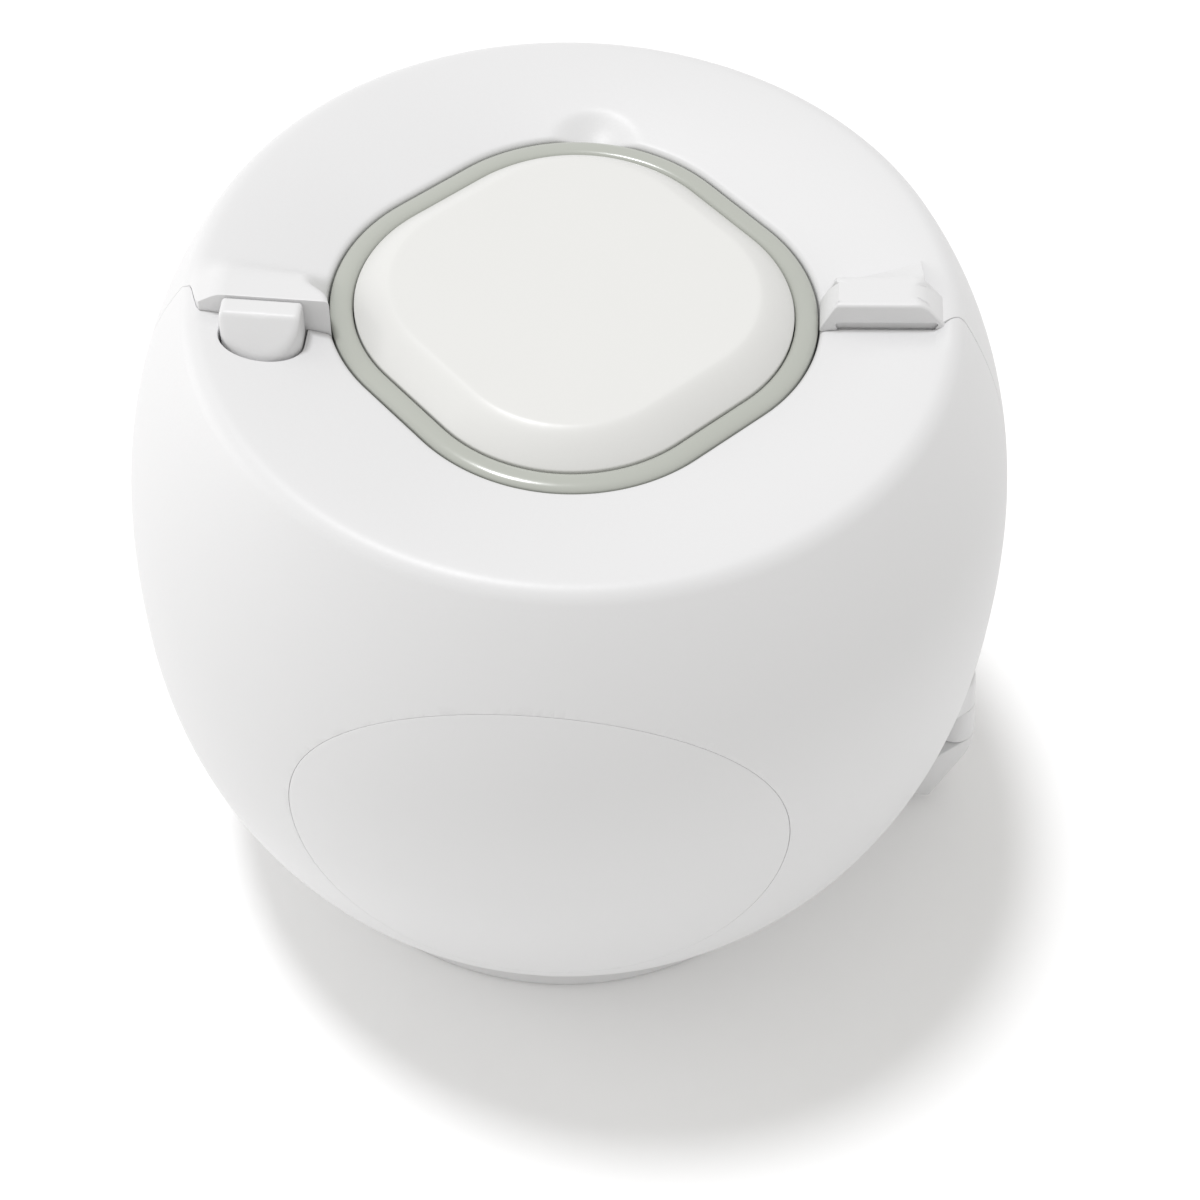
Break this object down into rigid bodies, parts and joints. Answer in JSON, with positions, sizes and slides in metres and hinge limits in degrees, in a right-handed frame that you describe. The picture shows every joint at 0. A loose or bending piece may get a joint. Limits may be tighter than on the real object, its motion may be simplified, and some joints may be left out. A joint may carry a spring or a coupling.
{
  "type": "child-proof door knob cover",
  "caption": "Barrel-shaped plastic clamshell that clamps round a door knob, with a decoy push button in a ring, a release tab, a hinge and oval grip pads.",
  "frame": {"origin": "centre of the neck's lower end, on the door knob's axis", "axes": "+Z along the knob's axis towards the face with the button; the halves part on Y = 0, the front half with the latch notch is at -Y; the hinge is at +X and the release tab at -X"},
  "size_m": [0.0823, 0.08, 0.07],
  "materials": {
    "shell": "satin white moulded plastic with a very fine texture",
    "ring": "glossy light grey-green plastic",
    "button": "smooth warm white plastic",
    "inner": "natural pale grey moulded plastic",
    "rubber": "dark grey gripping rubber",
    "steel": "zinc-plated steel"
  },
  "bodies": {
    "rear_half": {"rear_shell": "shell", "bezel_ring": "ring", "button_cup": "inner", "cup_screw_1": "steel", "cup_screw_2": "steel", "cup_screw_3": "steel", "button_spring": "steel", "latch_pivot_pin": "steel", "latch_spring": "steel", "hinge_pin": "steel", "rear_pad_strap": "inner", "rear_strap_screw_1": "steel", "rear_strap_screw_2": "steel", "rear_pad_spring": "steel"},
    "front_half": {"front_shell": "shell", "front_pad_strap": "inner", "front_strap_screw_1": "steel", "front_strap_screw_2": "steel", "front_pad_spring": "steel"},
    "button": {"decoy_button": "button"},
    "latch": {"latch_tab": "shell"},
    "front_pad": {"front_grip_pad": "shell", "front_upper_rubber": "rubber", "front_lower_rubber": "rubber"},
    "rear_pad": {"rear_grip_pad": "shell", "rear_upper_rubber": "rubber", "rear_lower_rubber": "rubber"}
  },
  "joints": [
    {"name": "clamshell_hinge", "type": "hinge", "parent": "rear_half", "child": "front_half", "pos_m": [0.0401, 0, 0.0106], "axis": [0, 0, 1], "range_deg": [0, 100]},
    {"name": "button_press", "type": "slide", "parent": "rear_half", "child": "button", "axis": [0, 0, -1], "range_m": [0, 0.0025], "stiffness_N_per_m": 600, "springref_m": -0.002, "deforming": ["button_spring"]},
    {"name": "latch_press", "type": "hinge", "parent": "rear_half", "child": "latch", "pos_m": [-0.0253, 0.013, 0.0622], "axis": [1, 0, 0], "range_deg": [0, 3.85], "stiffness_Nm_per_rad": 1, "springref_deg": -3.44, "deforming": ["latch_spring"]},
    {"name": "front_pad_press", "type": "slide", "parent": "front_half", "child": "front_pad", "axis": [0, 1, 0], "range_m": [0, 0.0025], "stiffness_N_per_m": 1200, "springref_m": -0.002, "deforming": ["front_pad_spring"]},
    {"name": "rear_pad_press", "type": "slide", "parent": "rear_half", "child": "rear_pad", "axis": [0, -1, 0], "range_m": [0, 0.0025], "stiffness_N_per_m": 1200, "springref_m": -0.002, "deforming": ["rear_pad_spring"]}
  ]
}
